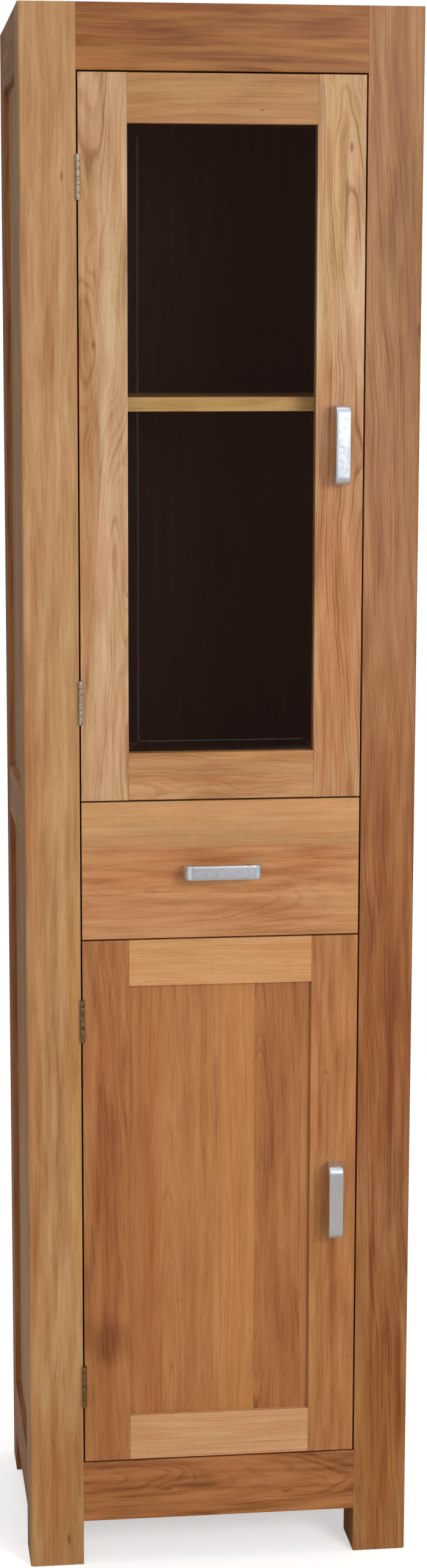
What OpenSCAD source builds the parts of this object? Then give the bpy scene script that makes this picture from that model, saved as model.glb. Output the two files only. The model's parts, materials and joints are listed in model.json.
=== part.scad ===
// Tall narrow oak pantry cabinet: a glazed door over a drawer over a panelled door.
// The cabinet stands on z = 0. X runs across the front, and Y runs from the front to the back.
// Each piece is drawn with the front face of the carcass at y = 0. place() then moves it so that
// the origin lies under the middle of the whole cabinet, handles included.

/* [Carcass] */
// Width across the legs
cab_w = 450; // [440:1:520]
// Depth from the front of the legs to the back of the legs
cab_d = 350; // [340:1:400]
// Height from the floor to the top
cab_h = 1800; // [1780:1:1850]
// Side of the square legs
leg_w = 63; // [60:1:65]
// Rounding of each leg's outer corner
leg_round = 4; // [1:0.5:6]
// Thickness of the rails that join the legs
rail_t = 22; // [22:1:24]
// Height of the top rails
top_rail_h = 72; // [70:1:80]
// Height of the front bottom rail
kick_rail_h = 73; // [70:1:80]
// Clear height under the front bottom rail
foot_h = 54; // [50:1:60]
// Height of the side rails at drawer level
mid_rail_h = 57; // [54:1:60]
// Thickness of the floors and the top
board_t = 18; // [16:1:20]
// Thickness of the side panels
side_panel_t = 10; // [8:0.5:10]
// Thickness of the back panel
back_panel_t = 6; // [5:0.5:8]

/* [Fronts] */
// Thickness of the doors and of the drawer front
front_t = 21; // [20:0.5:21]
// Gap round each front
gap = 2; // [2:0.5:3]
// Height of the lower door
lower_door_h = 628.5; // [610:0.5:640]
// Height of the drawer front
drawer_h = 159; // [155:0.5:165]
// Width of the door stiles
stile_w = 54; // [50:1:58]
// Height of the door rails
door_rail_h = 54; // [50:1:58]
// Thickness of the glass
glass_t = 5; // [4:0.5:6]
// Width of the bevel round the glass
bevel_w = 19; // [14:1:22]

/* [Shelves] */
// Thickness of the shelves
shelf_t = 16; // [15:0.5:18]
// Underside of the upper shelf
upper_shelf_z = 1358; // [1340:1:1370]
// Underside of the lower shelf
lower_shelf_z = 440; // [430:1:460]

/* [Hardware] */
// Distance of the two screw holes of a handle
handle_pitch = 76; // [72:1:80]
// Overall length of a handle
handle_l = 88; // [86:1:92]
// Width of the handle's bar
handle_w = 16; // [12:1:18]
// Distance that a handle stands out
handle_out = 28; // [26:1:32]
// Height of a hinge
hinge_h = 50; // [48:1:52]
// Distance of the upper door's hinges from its ends
upper_hinge_inset = 112.5; // [100:0.5:130]
// Distance of the lower door's hinges from its ends
lower_hinge_inset = 93.5; // [80:0.5:110]

/* [Hidden] */
$fn = 48;

// Colours
oak_tan = "#b58150";
oak_red = "#a5653f";
oak_brown = "#9a6740";
oak_pale = "#c08f62";
oak_mid = "#ae7547";
silver = "#b9babb";
nickel = "#8d887e";
steel = "#a0a2a4";
cream = "#e8e4da";
dark_glass = [0.16, 0.12, 0.11, 0.6];

// Main planes of the carcass
half_w = cab_w / 2;
open_x = half_w - leg_w;               // inner face of the legs
front_x = open_x - gap;                // outer edge of the doors
front_y = handle_out - (cab_d + handle_out) / 2;
panel_recess = 6;                      // from the outer face of a side rail to its panel
panel_x = half_w - panel_recess - side_panel_t;   // inner face of the side panels
side_y0 = leg_w;
side_y1 = cab_d - leg_w;

// Levels of the fronts
lower_z0 = foot_h + kick_rail_h + gap;
lower_z1 = lower_z0 + lower_door_h;
drawer_z0 = lower_z1 + gap;
drawer_z1 = drawer_z0 + drawer_h;
upper_z0 = drawer_z1 + gap;
upper_z1 = cab_h - top_rail_h - gap;

// Levels of the rails and floors
top_rail_z = cab_h - top_rail_h;
floor_under_door = 0.5;
upper_floor_z = upper_z0 - floor_under_door;
mid_rail_z = upper_floor_z - mid_rail_h;
bottom_floor_drop = 9;                 // from the top of the front bottom rail to the floor's underside
bottom_floor_z = foot_h + kick_rail_h - bottom_floor_drop;
side_low_rail_z = 50;
divider_z = lower_z1 + gap / 2 - board_t / 2;

// Joinery of the carcass
tenon_l = 20;
tenon_t = 10;
tenon_margin = 14;                     // from a rail's edges to its tenon
low_tenon_margin = 7;                  // the same on the low front and back rails
tenon_y = 6;                           // from the front face to the rail tenons
groove_d = 7;
panel_tongue = 6;
dado_d = 8;
floor_play = 0.5;                      // between a fixed floor and the side panels
leg_groove_margin = 10;                // from the foot of the side rails to the panel groove
top_tongue_t = 8;
back_inset = 14;                       // from the rear face to the front face of the back panel
back_y = cab_d - back_inset;

// Joinery of the doors
door_tenon_l = 30;
door_tenon_y = 7;
door_tenon_t = 7;
rebate_w = 8;
door_tenon_margins = [8, 4];           // from a rail's outer edge, and from its rebate or groove
rebate_y = 9;
panel_y = 6.5;
lower_panel_t = 8;
seat = 7;                              // how far the glass and the panel enter the frame
view_x = front_x - stile_w;            // half the clear width inside a door's frame
stile_mid_x = front_x - stile_w / 2;

// Hinges: the axis stands in front of the gap between the leg and the door
hinge_x = -open_x + 1.8;
hinge_y = -2.9;
knuckle_r = 2.5;
pin_r = 1.45;
pin_bore_r = 1.5;
knuckles = 6;
knuckle_gap = 0.3;
leaf_t = 1;
leaf_y0 = 0.3;
leaf_y1 = 18;
leaf_offset = 0.8;                     // from the hinge axis to the near face of a leaf
hinge_screw_pitch = 17;
hinge_screw_y = 9.5;
hinge_screw_r = 1.5;
hinge_screw_head_r = 2.5;
hinge_screw_l = 14;
screw_play = 0.05;
hinge_zs = [upper_z1 - upper_hinge_inset, upper_z0 + upper_hinge_inset,
            lower_z1 - lower_hinge_inset, lower_z0 + lower_hinge_inset];
upper_hinge_zs = [hinge_zs[0], hinge_zs[1]];
lower_hinge_zs = [hinge_zs[2], hinge_zs[3]];

// Handles and their screws
bar_t = 5;
foot_l = 12;
bend_r = 9;
handle_screw_r = 1.95;
handle_bore_r = 2;
handle_bore_l = 18;
handle_screw_in = 14;                  // length of the screw inside the handle's foot
front_bore_r = 2.25;
handle_head_r = 4;
handle_head_t = 2.5;
upper_handle_drop = 2;
upper_handle_z = (upper_z0 + upper_z1) / 2 - upper_handle_drop;
lower_handle_z = (lower_z0 + lower_z1) / 2;
drawer_handle_z = (drawer_z0 + drawer_z1) / 2;

// Magnetic catches
catch_drop = 60;                       // below the middle of the handle
catch_zs = [upper_handle_z - catch_drop, lower_handle_z - catch_drop];
catch_size = [14, 26, 40];
strike_size = [12, 1, 30];
strike_inset = 1;                      // from the door's edge
catch_gap = 0.3;                       // between the strike and the catch
catch_y = front_t + strike_size[1] + catch_gap;

// Shelves and their pins
shelf_play = 1.5;                      // between a shelf and the legs
shelf_side_play = 2;                   // between a shelf and the side panels
shelf_back_gap = 8;
shelf_y0 = 42;
pin_y = 52;
shelf_pin_r = 2.5;
shelf_pin_l = 17;
shelf_pin_hole_r = 2.55;
shelf_pin_hole_d = 9;

// Drawer box and its runners
box_side_t = 12;
box_gap = 12;                          // between a drawer side and the leg
box_x = open_x - box_gap;              // outer face of the drawer sides
box_rise = 15.5;                       // from the bottom of the front to the bottom of the box
box_drop = 13.5;                       // from the top of the front to the top of the box
box_z0 = drawer_z0 + box_rise;
box_z1 = drawer_z1 - box_drop;
box_lap = 12;                          // length of the half-blind tails
box_lap_y = front_t - box_lap;
box_y1 = 311;
box_back_y = box_y1 - box_side_t;
box_bottom_t = 6;
box_bottom_rise = 8;
box_bottom_z = box_z0 + box_bottom_rise;
box_bottom_play = 0.5;
box_groove_d = 6;
runner_h = 12;
runner_z = (box_z0 + box_z1) / 2 - runner_h / 2;
runner_play = 0.5;
runner_groove_d = 5;
runner_y0 = 42;
runner_back_gap = 2;
runner_y1 = cab_d - rail_t - runner_back_gap;
runner_screw_r = 2;
runner_screw_head_r = 4;
runner_screw_l = 30;
runner_screw_inset = [10, 26];         // from the front and back ends of a runner
runner_screw_ys = [runner_y0 + runner_screw_inset[0], runner_y1 - runner_screw_inset[1]];
tails = 3;
tail_w = 28;                           // width of a tail at its root
tail_slope = 0.17;
tail_cut_overrun = 0.01;

// ---------- Helpers ----------

module place() {
    translate([0, front_y, 0]) children();
}

module block(x, y, z) {
    translate([x[0], y[0], z[0]])
        cube([x[1] - x[0], y[1] - y[0], z[1] - z[0]]);
}

// side is 1 for the right-hand piece, as drawn, and -1 for the left-hand one
module hand(side) {
    mirror([side < 0 ? 1 : 0, 0, 0]) children();
}

module both_hands() {
    hand(1) children();
    hand(-1) children();
}

// Turns a piece drawn for the front into the matching piece at the back
module at_back() {
    translate([0, cab_d, 0]) mirror([0, 1, 0]) children();
}

// Exchanges the two axes of an outline, which turns one that was drawn lying down upright
module swap_axes() {
    mirror([1, -1, 0]) children();
}

// A cylinder from x0 to x1, along X
module rod_x(x0, x1, y, z, r) {
    translate([x0, y, z]) rotate([0, 90, 0]) cylinder(r = r, h = x1 - x0);
}

// A cylinder from y0 to y1, along Y
module rod_y(y0, y1, x, z, r) {
    translate([x, y0, z]) rotate([-90, 0, 0]) cylinder(r = r, h = y1 - y0);
}

// A countersunk screw along +X with its flat head's face at the origin
module countersunk_screw(r, head_r, l, play = 0) {
    rotate([0, 90, 0]) rotate_extrude()
        polygon([[0, 0], [head_r + play, 0], [r + play, head_r - r], [r + play, l + play],
                 [0, l + play]]);
}

function arc(cx, cy, r, a0, a1, n = 8) =
    [for (i = [0:n]) [cx + r * cos(a0 + (a1 - a0) * i / n), cy + r * sin(a0 + (a1 - a0) * i / n)]];

// ---------- Legs ----------

// The right-hand front leg before its special cuts, with the joints that every leg has
module leg_blank() {
    difference() {
        linear_extrude(cab_h)
            polygon(concat([[open_x, 0]], arc(half_w - leg_round, leg_round, leg_round, -90, 0),
                           [[half_w, leg_w], [open_x, leg_w]]));
        front_rail_tenon(top_rail_z + tenon_margin, cab_h - tenon_margin);
        front_rail_tenon(foot_h + low_tenon_margin, foot_h + kick_rail_h - low_tenon_margin);
        for (z = side_rail_levels()) side_rail_tenon(z[0], z[1]);
        // groove of the side panels
        block([panel_x, panel_x + side_panel_t], [side_y0 - groove_d, side_y0 + 1],
              [side_low_rail_z + leg_groove_margin, top_rail_z + groove_d]);
        // dado of the drawer divider
        block([open_x - 1, open_x + dado_d], [rail_t, leg_w + 1], [divider_z, divider_z + board_t]);
        for (z = [upper_shelf_z, lower_shelf_z])
            rod_x(open_x - 1, open_x + shelf_pin_hole_d, pin_y, z - shelf_pin_r, shelf_pin_hole_r);
    }
}

// Lowest and highest point of the three side rails
function side_rail_levels() = [
    [top_rail_z, cab_h], [mid_rail_z, upper_floor_z], [side_low_rail_z, bottom_floor_z]
];

// The part of a front rail that enters the right-hand leg
module front_rail_tenon(z0, z1) {
    block([open_x, open_x + tenon_l], [tenon_y, tenon_y + tenon_t], [z0, z1]);
}

// The part of a right-hand side rail that enters the front leg
module side_rail_tenon(z0, z1) {
    block([panel_x, panel_x + side_panel_t], [side_y0 - tenon_l, side_y0],
          [z0 + tenon_margin, z1 - tenon_margin]);
}

module runner_screw_cuts() {
    for (y = runner_screw_ys)
        translate([box_x - runner_groove_d + runner_play, y, runner_z + runner_h / 2])
            countersunk_screw(runner_screw_r, runner_screw_head_r, runner_screw_l, screw_play);
}

module front_left_leg() {
    color(oak_tan) place() difference() {
        hand(-1) leg_blank();
        hand(-1) runner_screw_cuts();
        for (z = hinge_zs) frame_leaf_screws(z, screw_play);
    }
}

module front_right_leg() {
    color(oak_red) place() difference() {
        leg_blank();
        runner_screw_cuts();
    }
}

module back_leg(side) {
    hand(side) difference() {
        at_back() leg_blank();
        runner_screw_cuts();
        // groove of the back panel, and the divider's dado up to it
        block([open_x - 1, open_x + groove_d], [back_y, back_y + back_panel_t],
              [bottom_floor_z + board_t - groove_d, top_rail_z + groove_d]);
        block([open_x - 1, open_x + dado_d], [side_y1 - 1, back_y], [divider_z, divider_z + board_t]);
    }
}

module back_left_leg() { color(oak_brown) place() back_leg(-1); }
module back_right_leg() { color(oak_tan) place() back_leg(1); }

// ---------- Rails of the carcass ----------

module front_rail(z0, z1, margin) {
    block([-open_x, open_x], [0, rail_t], [z0, z1]);
    both_hands() front_rail_tenon(z0 + margin, z1 - margin);
}

// Groove in the inner face of a top rail, for the tongue of the top panel
module top_tongue_groove() {
    block([-open_x, open_x], [rail_t - groove_d, rail_t + 1],
          [cab_h - board_t, cab_h - board_t + top_tongue_t]);
}

module top_front_rail() {
    color(oak_red) place() difference() {
        front_rail(top_rail_z, cab_h, tenon_margin);
        top_tongue_groove();
    }
}

module bottom_front_rail() {
    color(oak_brown) place()
        front_rail(foot_h, foot_h + kick_rail_h, low_tenon_margin);
}

module back_top_rail() {
    color(oak_mid) place() difference() {
        at_back() front_rail(top_rail_z, cab_h, tenon_margin);
        at_back() top_tongue_groove();
        block([-half_w, half_w], [back_y, back_y + back_panel_t],
              [top_rail_z - 1, top_rail_z + groove_d]);
    }
}

module back_bottom_rail() {
    z1 = bottom_floor_z + board_t;
    color(oak_mid) place() difference() {
        at_back() {
            front_rail(foot_h, foot_h + kick_rail_h, low_tenon_margin);
            block([-open_x, open_x], [0, rail_t], [foot_h, z1]);
        }
        block([-half_w, half_w], [back_y, back_y + back_panel_t], [z1 - groove_d, z1 + 1]);
    }
}

// grooves: -1 below, 1 above, 0 both edges
module side_rail(side, z0, z1, grooves) {
    x = [panel_x, panel_x + side_panel_t];
    hand(side) {
        difference() {
            block([half_w - rail_t, half_w], [side_y0, side_y1], [z0, z1]);
            if (grooves <= 0) block(x, [side_y0 - 1, side_y1 + 1], [z0 - 1, z0 + groove_d]);
            if (grooves >= 0) block(x, [side_y0 - 1, side_y1 + 1], [z1 - groove_d, z1 + 1]);
            if (z1 == cab_h)
                block([half_w - rail_t - 1, half_w - rail_t + groove_d], [side_y0 - 1, side_y1 + 1],
                      [cab_h - board_t, cab_h - board_t + top_tongue_t]);
        }
        side_rail_tenon(z0, z1);
        at_back() side_rail_tenon(z0, z1);
    }
}

module side_top_rail(side) { side_rail(side, top_rail_z, cab_h, -1); }
module side_mid_rail(side) { side_rail(side, mid_rail_z, upper_floor_z, 0); }
module side_bottom_rail(side) { side_rail(side, side_low_rail_z, bottom_floor_z, 1); }

module left_top_rail() { color(oak_red) place() side_top_rail(-1); }
module left_mid_rail() { color(oak_mid) place() side_mid_rail(-1); }
module left_bottom_rail() { color(oak_brown) place() side_bottom_rail(-1); }
module right_top_rail() { color(oak_mid) place() side_top_rail(1); }
module right_mid_rail() { color(oak_brown) place() side_mid_rail(1); }
module right_bottom_rail() { color(oak_tan) place() side_bottom_rail(1); }

// ---------- Panels and floors of the carcass ----------

module side_panel(side, z0, z1) {
    hand(side) block([panel_x, panel_x + side_panel_t],
                     [side_y0 - panel_tongue, side_y1 + panel_tongue],
                     [z0 - panel_tongue, z1 + panel_tongue]);
}

module left_upper_panel() { color(oak_tan) place() side_panel(-1, upper_floor_z, top_rail_z); }
module left_lower_panel() { color(oak_mid) place() side_panel(-1, bottom_floor_z, mid_rail_z); }
module right_upper_panel() { color(oak_mid) place() side_panel(1, upper_floor_z, top_rail_z); }
module right_lower_panel() { color(oak_tan) place() side_panel(1, bottom_floor_z, mid_rail_z); }

module back_panel() {
    color(oak_pale) place()
        block([-open_x - panel_tongue, open_x + panel_tongue], [back_y, back_y + back_panel_t],
              [bottom_floor_z + board_t - panel_tongue, top_rail_z + panel_tongue]);
}

// A board between the side panels, cut out round the legs
module notched_board(z, t, wide_x, narrow_x, y0, y1, play = 0) {
    block([-wide_x, wide_x], [side_y0 + play, side_y1 - play], [z, z + t]);
    block([-narrow_x, narrow_x], [y0, y1], [z, z + t]);
}

module top_panel() {
    z = cab_h - board_t;
    inner_x = half_w - rail_t;
    color(oak_mid) place() {
        notched_board(z, board_t, inner_x, open_x, rail_t, cab_d - rail_t);
        // tongue into the grooves of the four top rails
        block([-inner_x - panel_tongue, inner_x + panel_tongue], [side_y0, side_y1],
              [z, z + top_tongue_t]);
        block([-open_x, open_x], [rail_t - panel_tongue, cab_d - rail_t + panel_tongue],
              [z, z + top_tongue_t]);
    }
}

module upper_floor() {
    color(oak_mid) place()
        notched_board(upper_floor_z, board_t, panel_x - floor_play, open_x, rail_t, back_y);
}

module drawer_divider() {
    color(oak_tan) place()
        notched_board(divider_z, board_t, panel_x - floor_play, open_x + dado_d, rail_t, back_y);
}

module bottom_panel() {
    color(oak_mid) place()
        notched_board(bottom_floor_z, board_t, panel_x - floor_play, open_x, rail_t, cab_d - rail_t);
}

module shelf(z) {
    notched_board(z, shelf_t, panel_x - shelf_side_play, open_x - shelf_play, shelf_y0,
                  back_y - shelf_back_gap, shelf_play);
}

module upper_shelf() { color(oak_pale) place() shelf(upper_shelf_z); }
module lower_shelf() { color(oak_pale) place() shelf(lower_shelf_z); }

module shelf_pins() {
    x1 = open_x + shelf_pin_hole_d - 0.5;
    color(nickel) place()
        for (z = [upper_shelf_z, lower_shelf_z], y = [pin_y, cab_d - pin_y])
            both_hands() rod_x(x1 - shelf_pin_l, x1, y, z - shelf_pin_r, shelf_pin_r);
}

// ---------- Drawer runners ----------

module drawer_runners() {
    color(oak_mid) place() both_hands() difference() {
        block([box_x - runner_groove_d + runner_play, open_x], [runner_y0, runner_y1],
              [runner_z, runner_z + runner_h]);
        runner_screw_cuts();
    }
}

module runner_screws() {
    color(steel) place() both_hands() for (y = runner_screw_ys)
        translate([box_x - runner_groove_d + runner_play, y, runner_z + runner_h / 2])
            countersunk_screw(runner_screw_r, runner_screw_head_r, runner_screw_l);
}

// ---------- Hinges ----------

// side is -1 for the leaf on the leg and 1 for the leaf on the door. The leaf's body keeps
// away from the knuckles of the other leaf, and joins its own knuckles, which alternate.
module hinge_leaf(side, z) {
    pitch = hinge_h / knuckles;
    x_near = side * leaf_offset;
    x_far = side * (leaf_offset + leaf_t);
    x = [min(x_near, x_far), max(x_near, x_far)];
    translate([hinge_x, 0, z - hinge_h / 2]) difference() {
        union() {
            block(x, [leaf_y0, leaf_y1], [0, hinge_h]);
            for (i = [side < 0 ? 0 : 1 : 2 : knuckles - 1]) {
                zs = [i * pitch + knuckle_gap / 2, (i + 1) * pitch - knuckle_gap / 2];
                block(x, [hinge_y, leaf_y0 + 1], zs);
                translate([0, hinge_y, zs[0]]) cylinder(r = knuckle_r, h = zs[1] - zs[0]);
            }
        }
        translate([0, hinge_y, -1]) cylinder(r = pin_bore_r, h = hinge_h + 2);
    }
}

// The screws of the leaf on the leg, pointing away from the door
module frame_leaf_screws(z, play = 0) {
    for (i = [-1:1])
        translate([hinge_x - leaf_offset, hinge_screw_y, z + i * hinge_screw_pitch])
            mirror([1, 0, 0])
                countersunk_screw(hinge_screw_r, hinge_screw_head_r, hinge_screw_l, play);
}

// The screws of the leaf on the door, pointing into the door's edge
module door_leaf_screws(z, play = 0) {
    for (i = [-1:1])
        translate([hinge_x + leaf_offset, hinge_screw_y, z + i * hinge_screw_pitch])
            countersunk_screw(hinge_screw_r, hinge_screw_head_r, hinge_screw_l, play);
}

module hinge_frame_leaves() {
    color(nickel) place() for (z = hinge_zs) difference() {
        hinge_leaf(-1, z);
        frame_leaf_screws(z, screw_play);
    }
}

module hinge_pins() {
    color(nickel) place() for (z = hinge_zs)
        translate([hinge_x, hinge_y, z - hinge_h / 2]) cylinder(r = pin_r, h = hinge_h);
}

module hinge_frame_screws() {
    color(nickel) place() for (z = hinge_zs) frame_leaf_screws(z);
}

module door_leaves(zs) {
    color(nickel) place() for (z = zs) difference() {
        hinge_leaf(1, z);
        door_leaf_screws(z, screw_play);
    }
}

module upper_door_hinge_leaves() { door_leaves(upper_hinge_zs); }
module lower_door_hinge_leaves() { door_leaves(lower_hinge_zs); }
module upper_door_hinge_screws() { color(nickel) place() for (z = upper_hinge_zs) door_leaf_screws(z); }
module lower_door_hinge_screws() { color(nickel) place() for (z = lower_hinge_zs) door_leaf_screws(z); }

// The recess in a door's edge that lets in the leaves, and the holes of their screws
module door_leaf_cuts(zs) {
    for (z = zs) {
        block([-front_x - 1, hinge_x + leaf_offset + leaf_t], [-1, leaf_y1],
              [z - hinge_h / 2, z + hinge_h / 2]);
        door_leaf_screws(z, screw_play);
    }
}

// ---------- Door frames ----------

// The part of a door's rail that enters the right-hand stile
module door_tenon(z) {
    block([view_x, view_x + door_tenon_l], [door_tenon_y, door_tenon_y + door_tenon_t], z);
}

// Extent of the two tenons: clear of the rebate or groove at the inner edges
function low_tenon(z0) =
    [z0 + door_tenon_margins[0], z0 + door_rail_h - rebate_w - door_tenon_margins[1]];
function high_tenon(z1) =
    [z1 - door_rail_h + rebate_w + door_tenon_margins[1], z1 - door_tenon_margins[0]];

// A right-hand stile. cut_y is the extent of the rebate or groove through its inner edge.
module stile(z0, z1, cut_y) {
    difference() {
        block([view_x, front_x], [0, front_t], [z0, z1]);
        block([view_x - 1, view_x + rebate_w], cut_y,
              [z0 + door_rail_h - rebate_w, z1 - door_rail_h + rebate_w]);
        door_tenon(low_tenon(z0));
        door_tenon(high_tenon(z1));
    }
}

// A door's rail from z[0] to z[1], with its rebate or groove between cut_z
module door_rail(z, tenon_z, cut_y, cut_z) {
    difference() {
        union() {
            block([-view_x, view_x], [0, front_t], z);
            both_hands() door_tenon(tenon_z);
        }
        block([-half_w, half_w], cut_y, cut_z);
    }
}

module low_door_rail(z0, cut_y) {
    z1 = z0 + door_rail_h;
    door_rail([z0, z1], low_tenon(z0), cut_y, [z1 - rebate_w, z1 + 1]);
}

module high_door_rail(z1, cut_y) {
    z0 = z1 - door_rail_h;
    door_rail([z0, z1], high_tenon(z1), cut_y, [z0 - 1, z0 + rebate_w]);
}

// ---------- Handles ----------

// A bow handle centred on the origin, standing along Z, with its feet on y = 0
module bow_handle() {
    half = handle_l / 2;
    in_r = bend_r - bar_t;
    outer = concat([[-half, 0]], arc(-half + bend_r, -handle_out + bend_r, bend_r, 180, 270),
                   arc(half - bend_r, -handle_out + bend_r, bend_r, 270, 360), [[half, 0]]);
    inner_half = half - foot_l;
    inner_y = -handle_out + bar_t;
    inner = concat([[-inner_half, 1]],
                   arc(-inner_half + in_r, inner_y + in_r, in_r, 180, 270),
                   arc(inner_half - in_r, inner_y + in_r, in_r, 270, 360), [[inner_half, 1]]);
    difference() {
        translate([-handle_w / 2, 0, 0]) rotate([90, 0, 90]) linear_extrude(handle_w)
            swap_axes() difference() {
                polygon(outer);
                polygon(inner);
            }
        for (s = [-1, 1])
            rod_y(-handle_bore_l, 1, 0, s * handle_pitch / 2, handle_bore_r);
    }
}

module handle_screw_pair(bore = false) {
    r = bore ? front_bore_r : handle_screw_r;
    for (s = [-1, 1]) {
        if (bore) rod_y(-1, front_t + 1, 0, s * handle_pitch / 2, r);
        else {
            rod_y(-handle_screw_in, front_t, 0, s * handle_pitch / 2, r);
            rod_y(front_t, front_t + handle_head_t, 0, s * handle_pitch / 2, handle_head_r);
        }
    }
}

module at_upper_handle() { translate([stile_mid_x, 0, upper_handle_z]) children(); }
module at_lower_handle() { translate([stile_mid_x, 0, lower_handle_z]) children(); }
module at_drawer_handle() { translate([0, 0, drawer_handle_z]) rotate([0, 90, 0]) children(); }

// ---------- Catches ----------

module catch_bodies() {
    color(cream) place() for (z = catch_zs)
        translate([open_x - catch_size[0], catch_y, z - catch_size[2] / 2]) cube(catch_size);
}

module catch_strike(z) {
    x = front_x - strike_size[0] - strike_inset;
    color(steel) place() translate([x, front_t, z - strike_size[2] / 2]) cube(strike_size);
}

// ---------- Upper door ----------

glass_cut_y = [rebate_y, front_t + 1];
glass_x = view_x + seat;
glass_z = [upper_z0 + door_rail_h - seat, upper_z1 - door_rail_h + seat];

module upper_door_hinge_stile() {
    color(oak_pale) place() difference() {
        hand(-1) stile(upper_z0, upper_z1, glass_cut_y);
        door_leaf_cuts(upper_hinge_zs);
    }
}

module upper_door_handle_stile() {
    color(oak_pale) place() difference() {
        stile(upper_z0, upper_z1, glass_cut_y);
        at_upper_handle() handle_screw_pair(true);
    }
}

module upper_door_top_rail() { color(oak_tan) place() high_door_rail(upper_z1, glass_cut_y); }
module upper_door_bottom_rail() { color(oak_pale) place() low_door_rail(upper_z0, glass_cut_y); }

// Outline of the bevelled glass across one direction, from -half to half
module glass_profile(lo, hi) {
    edge_t = glass_t / 2;
    polygon([[lo, glass_t], [lo, glass_t - edge_t], [lo + bevel_w, 0], [hi - bevel_w, 0],
             [hi, glass_t - edge_t], [hi, glass_t]]);
}

module glass_pane() {
    color(dark_glass) place() translate([0, rebate_y, 0]) intersection() {
        translate([0, 0, glass_z[0]]) linear_extrude(glass_z[1] - glass_z[0])
            glass_profile(-glass_x, glass_x);
        // the same outline, with its length upright
        translate([-glass_x, 0, 0]) rotate([90, 0, 90]) linear_extrude(2 * glass_x)
            swap_axes() glass_profile(glass_z[0], glass_z[1]);
    }
}

module glazing_beads() {
    y = [rebate_y + glass_t, front_t];
    z = [upper_z0 + door_rail_h - rebate_w, upper_z1 - door_rail_h + rebate_w];
    color(oak_tan) place() {
        both_hands() block([view_x, view_x + rebate_w], y, z);
        block([-view_x, view_x], y, [z[0], z[0] + rebate_w]);
        block([-view_x, view_x], y, [z[1] - rebate_w, z[1]]);
    }
}

module upper_door_handle() { color(silver) place() at_upper_handle() bow_handle(); }
module upper_door_handle_screws() { color(steel) place() at_upper_handle() handle_screw_pair(); }
module upper_catch_strike() { catch_strike(catch_zs[0]); }

// ---------- Lower door ----------

panel_cut_y = [panel_y, panel_y + lower_panel_t];

module lower_door_hinge_stile() {
    color(oak_red) place() difference() {
        hand(-1) stile(lower_z0, lower_z1, panel_cut_y);
        door_leaf_cuts(lower_hinge_zs);
    }
}

module lower_door_handle_stile() {
    color(oak_brown) place() difference() {
        stile(lower_z0, lower_z1, panel_cut_y);
        at_lower_handle() handle_screw_pair(true);
    }
}

module lower_door_top_rail() { color(oak_pale) place() high_door_rail(lower_z1, panel_cut_y); }
module lower_door_bottom_rail() { color(oak_pale) place() low_door_rail(lower_z0, panel_cut_y); }

module lower_door_panel() {
    color(oak_mid) place() block([-view_x - seat, view_x + seat], panel_cut_y,
                         [lower_z0 + door_rail_h - seat, lower_z1 - door_rail_h + seat]);
}

module lower_door_handle() { color(silver) place() at_lower_handle() bow_handle(); }
module lower_door_handle_screws() { color(steel) place() at_lower_handle() handle_screw_pair(); }
module lower_catch_strike() { catch_strike(catch_zs[1]); }

// ---------- Drawer ----------

// The dovetails at the front end of a right-hand drawer side. They widen towards y0.
module front_tails(y0, y1) {
    step = (box_z1 - box_z0) / tails;
    flare = (y1 - y0) * tail_slope;
    for (i = [0:tails - 1]) {
        z = box_z0 + (i + 0.5) * step;
        translate([box_x - box_side_t, 0, 0]) rotate([90, 0, 90]) linear_extrude(box_side_t)
            polygon([[y0, z - tail_w / 2 - flare], [y0, z + tail_w / 2 + flare],
                     [y1, z + tail_w / 2], [y1, z - tail_w / 2]]);
    }
}

// The dovetails at the back end, which widen towards the back
module back_tails() {
    translate([0, box_back_y + box_y1, 0]) mirror([0, 1, 0]) front_tails(box_back_y, box_y1);
}

module drawer_bottom_groove() {
    x = box_x - box_side_t + box_groove_d;
    block([-x, x], [front_t - box_groove_d, box_back_y + box_groove_d],
          [box_bottom_z, box_bottom_z + box_bottom_t]);
}

module drawer_side(side) {
    color(oak_pale) place() hand(side) difference() {
        union() {
            block([box_x - box_side_t, box_x], [front_t, box_back_y], [box_z0, box_z1]);
            front_tails(box_lap_y, front_t);
            back_tails();
        }
        drawer_bottom_groove();
        block([box_x - runner_groove_d, box_x + 1], [runner_y0 - 2, box_y1 + 1],
              [runner_z - runner_play, runner_z + runner_h + runner_play]);
    }
}

module drawer_front() {
    color(oak_mid) place() difference() {
        block([-front_x, front_x], [0, front_t], [drawer_z0, drawer_z1]);
        both_hands() front_tails(box_lap_y, front_t + tail_cut_overrun);
        drawer_bottom_groove();
        at_drawer_handle() handle_screw_pair(true);
    }
}

module drawer_left_side() { drawer_side(-1); }
module drawer_right_side() { drawer_side(1); }

module drawer_back() {
    color(oak_pale) place() difference() {
        block([-box_x, box_x], [box_back_y, box_y1], [box_z0, box_z1]);
        both_hands() {
            back_tails();
            // the runner passes the back as well
            block([box_x - runner_groove_d, box_x + 1], [box_back_y - 1, box_y1 + 1],
                  [runner_z - runner_play, runner_z + runner_h + runner_play]);
        }
        drawer_bottom_groove();
    }
}

module drawer_bottom() {
    x = box_x - box_side_t + box_groove_d - box_bottom_play;
    y = [front_t - box_groove_d + box_bottom_play, box_back_y + box_groove_d - box_bottom_play];
    color(oak_pale) place() block([-x, x], y, [box_bottom_z, box_bottom_z + box_bottom_t]);
}

module drawer_handle() { color(silver) place() at_drawer_handle() bow_handle(); }
module drawer_handle_screws() { color(steel) place() at_drawer_handle() handle_screw_pair(); }

// ---------- Nodes ----------

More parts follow.
